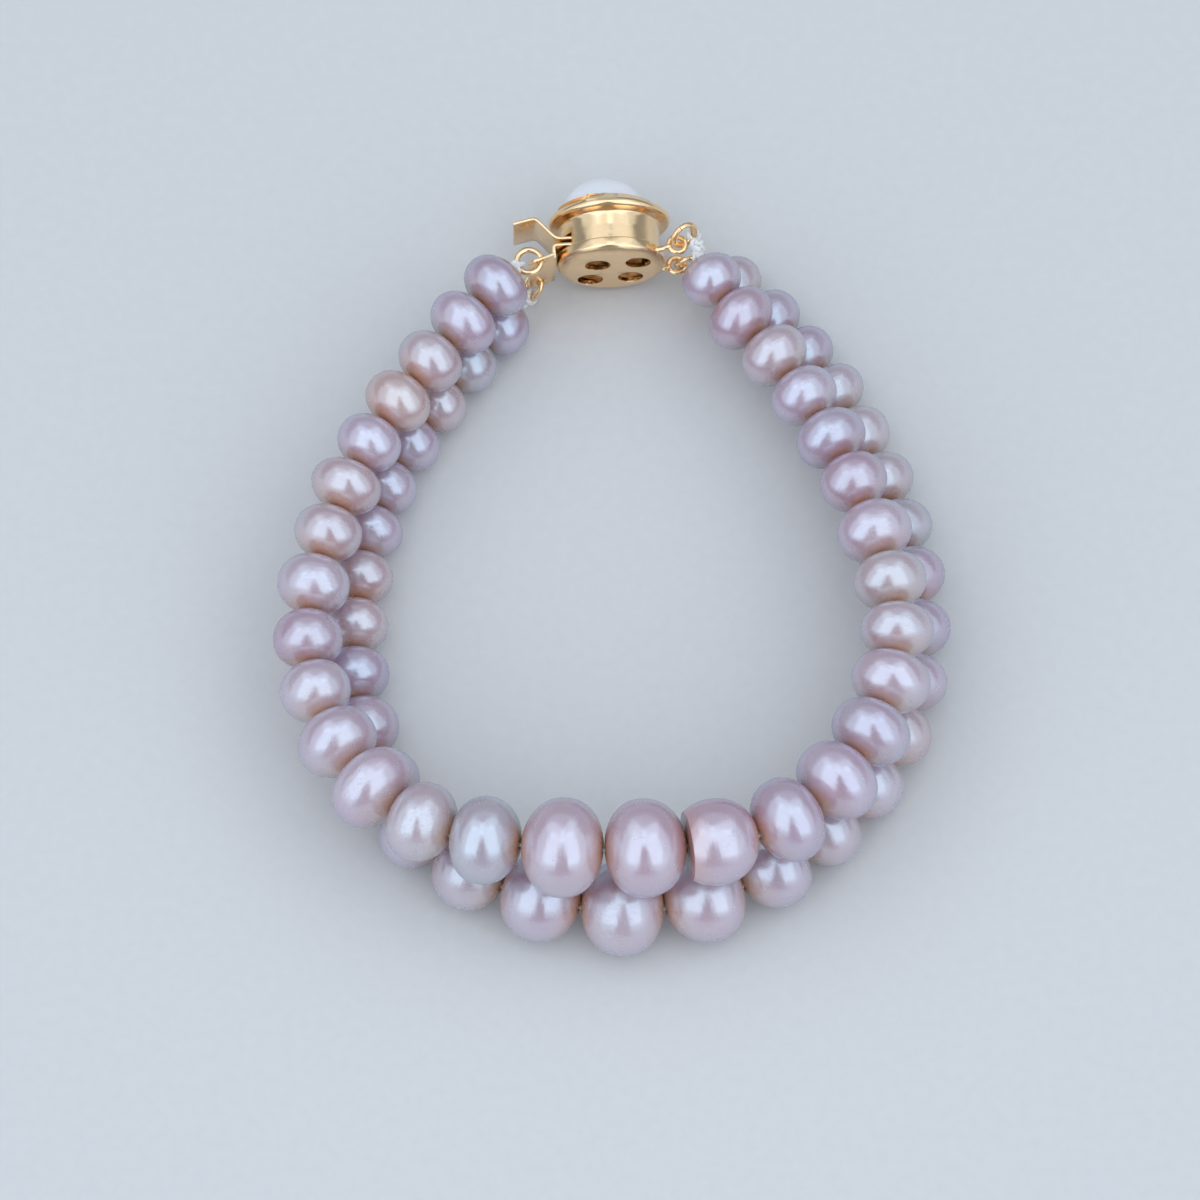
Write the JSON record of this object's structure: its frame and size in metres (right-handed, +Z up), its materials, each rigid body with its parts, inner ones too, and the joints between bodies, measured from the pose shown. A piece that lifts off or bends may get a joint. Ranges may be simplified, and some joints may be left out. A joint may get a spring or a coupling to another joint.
{
  "type": "pearl bracelet",
  "caption": "Closed bracelet of two strands of graduated button pearls on a round gilt box clasp with a white cabochon, lying flat.",
  "frame": {"origin": "under the middle of the bracelet's box, on the surface that it lies on", "axes": "+Z up, across the stacked strands; +Y from the front of the loop to the clasp; +X to the right, seen with the clasp at the back"},
  "size_m": [0.064, 0.0794, 0.018],
  "materials": {
    "upper_pearls": "pearl lustre, pink to lavender",
    "lower_pearls": "pearl lustre, peach to lavender",
    "gold_plate": "polished yellow gold plate",
    "white_cabochon": "soft gloss",
    "thread": "white twisted silk"
  },
  "bodies": {
    "bracelet": {"upper_strand": "upper_pearls", "lower_strand": "lower_pearls", "clasp_body": "gold_plate", "clasp_back": "gold_plate", "clasp_cabochon": "white_cabochon", "clasp_tongue": "gold_plate", "ring_left_upper": "gold_plate", "ring_left_lower": "gold_plate", "ring_right_upper": "gold_plate", "ring_right_lower": "gold_plate"},
    "thumb_leaf": {"clasp_thumb_leaf": "gold_plate"}
  },
  "joints": [
    {"name": "thumb_press", "type": "hinge", "parent": "bracelet", "child": "thumb_leaf", "pos_m": [0.00279, 0.03309, 0.00576], "axis": [0.0032, -0.0697, 0.9976], "range_deg": [0, 1.8], "stiffness_Nm_per_rad": 0.01, "springref_deg": -0.57}
  ]
}
